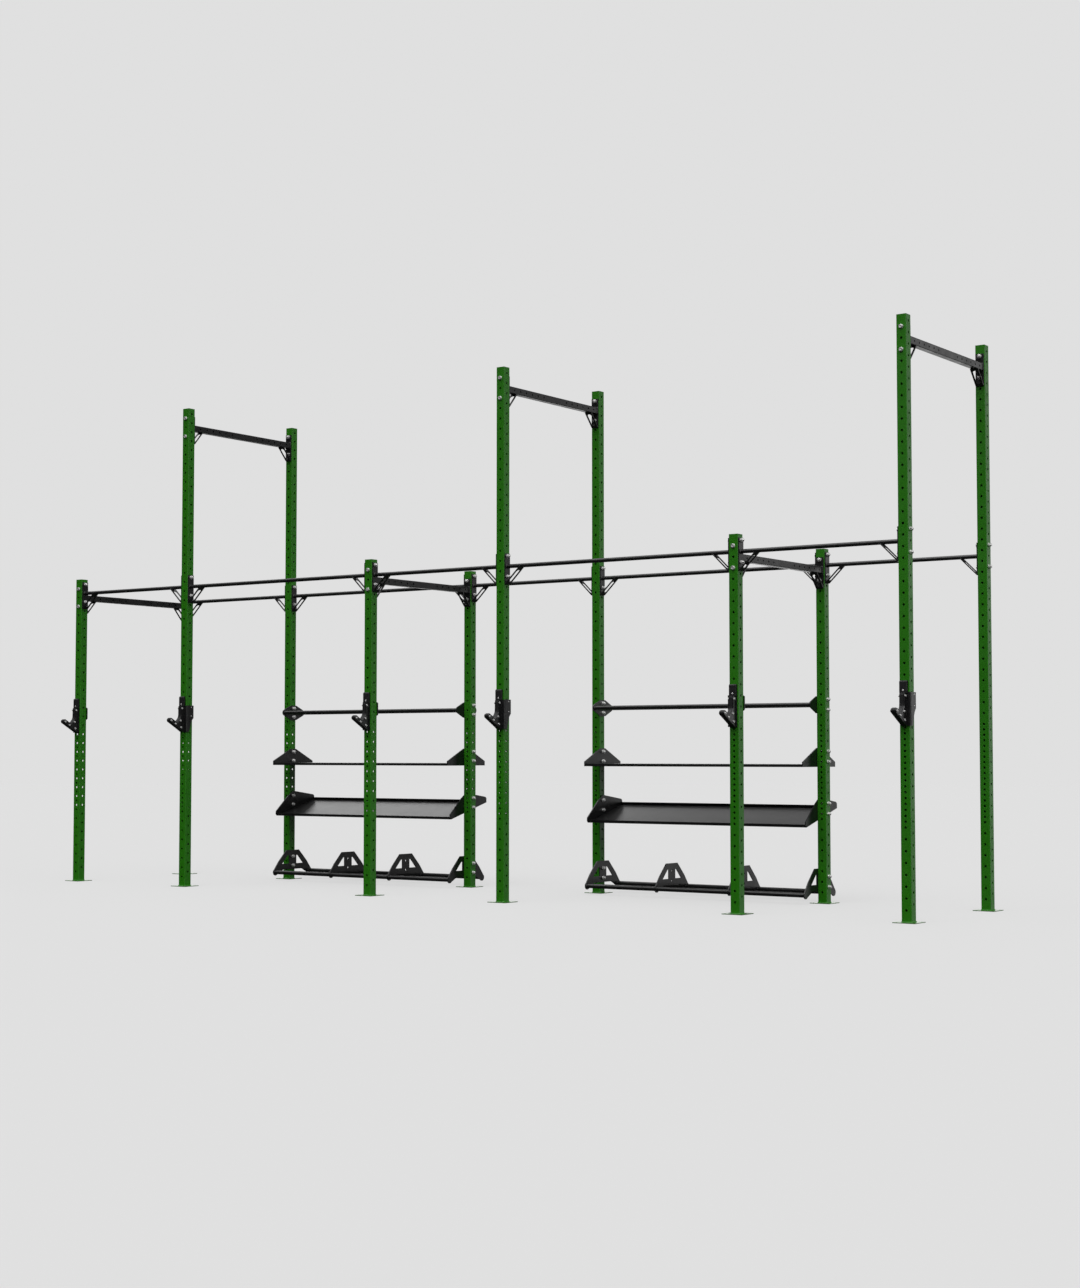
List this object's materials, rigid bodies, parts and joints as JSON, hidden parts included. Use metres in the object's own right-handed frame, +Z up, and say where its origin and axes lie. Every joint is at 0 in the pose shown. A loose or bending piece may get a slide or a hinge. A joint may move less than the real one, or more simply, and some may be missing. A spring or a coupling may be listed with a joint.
{
  "type": "training rig",
  "caption": "Free-standing steel training rig: perforated square posts on foot plates, round pull-up bars, cross beams, slide-off barbell hooks and racks for balls, weights and plates.",
  "frame": {"origin": "centre of the base of the bounding box, on the floor", "axes": "+X along the rig towards its tall right end, -Y towards the front row that carries the hooks, +Z up"},
  "size_m": [7.826, 1.7338, 3.911],
  "materials": {
    "post_paint": "semi-gloss green powder coat",
    "black_paint": "satin black powder coat",
    "zinc": "bright zinc plate",
    "black_plastic": "moulded black high-density plastic"
  },
  "bodies": {
    "frame": {"post_front_1": "post_paint", "post_front_2": "post_paint", "post_front_3": "post_paint", "post_front_4": "post_paint", "post_front_5": "post_paint", "post_front_6": "post_paint", "post_back_1": "post_paint", "post_back_2": "post_paint", "post_back_3": "post_paint", "post_back_4": "post_paint", "post_back_5": "post_paint", "post_back_6": "post_paint", "foot_plates": "post_paint", "post_caps": "black_plastic", "pullup_bar_front_1": "black_paint", "pullup_bar_front_2": "black_paint", "pullup_bar_front_3": "black_paint", "pullup_bar_front_4": "black_paint", "pullup_bar_front_5": "black_paint", "pullup_bar_back_1": "black_paint", "pullup_bar_back_2": "black_paint", "pullup_bar_back_3": "black_paint", "pullup_bar_back_4": "black_paint", "pullup_bar_back_5": "black_paint", "low_cross_beams": "black_paint", "high_cross_beams": "black_paint", "flange_plates": "black_paint", "gusset_straps": "black_paint", "ball_rack_plates": "black_paint", "ball_rack_bars": "black_paint", "flat_shelf_left": "black_paint", "flat_shelf_right": "black_paint", "flat_shelf_brackets": "black_paint", "sloped_tray_left": "black_paint", "sloped_tray_right": "black_paint", "sloped_tray_brackets": "black_paint", "rack_rails": "black_paint", "rack_dividers": "black_paint", "frame_bolts": "zinc", "storage_bolts": "zinc", "nuts": "zinc", "washers": "zinc"},
    "hook_1": {"hook_1_steel": "black_paint", "hook_1_pads": "black_plastic", "hook_1_screws": "zinc"},
    "hook_2": {"hook_2_steel": "black_paint", "hook_2_pads": "black_plastic", "hook_2_screws": "zinc"},
    "hook_3": {"hook_3_steel": "black_paint", "hook_3_pads": "black_plastic", "hook_3_screws": "zinc"},
    "hook_4": {"hook_4_steel": "black_paint", "hook_4_pads": "black_plastic", "hook_4_screws": "zinc"},
    "hook_5": {"hook_5_steel": "black_paint", "hook_5_pads": "black_plastic", "hook_5_screws": "zinc"},
    "hook_6": {"hook_6_steel": "black_paint", "hook_6_pads": "black_plastic", "hook_6_screws": "zinc"}
  },
  "joints": [
    {"name": "hook_1_slide", "type": "slide", "parent": "frame", "child": "hook_1", "axis": [-1, 0, 0], "range_m": [0, 0.09]},
    {"name": "hook_2_slide", "type": "slide", "parent": "frame", "child": "hook_2", "axis": [1, 0, 0], "range_m": [0, 0.09]},
    {"name": "hook_3_slide", "type": "slide", "parent": "frame", "child": "hook_3", "axis": [-1, 0, 0], "range_m": [0, 0.09]},
    {"name": "hook_4_slide", "type": "slide", "parent": "frame", "child": "hook_4", "axis": [1, 0, 0], "range_m": [0, 0.09]},
    {"name": "hook_5_slide", "type": "slide", "parent": "frame", "child": "hook_5", "axis": [-1, 0, 0], "range_m": [0, 0.09]},
    {"name": "hook_6_slide", "type": "slide", "parent": "frame", "child": "hook_6", "axis": [1, 0, 0], "range_m": [0, 0.09]}
  ]
}
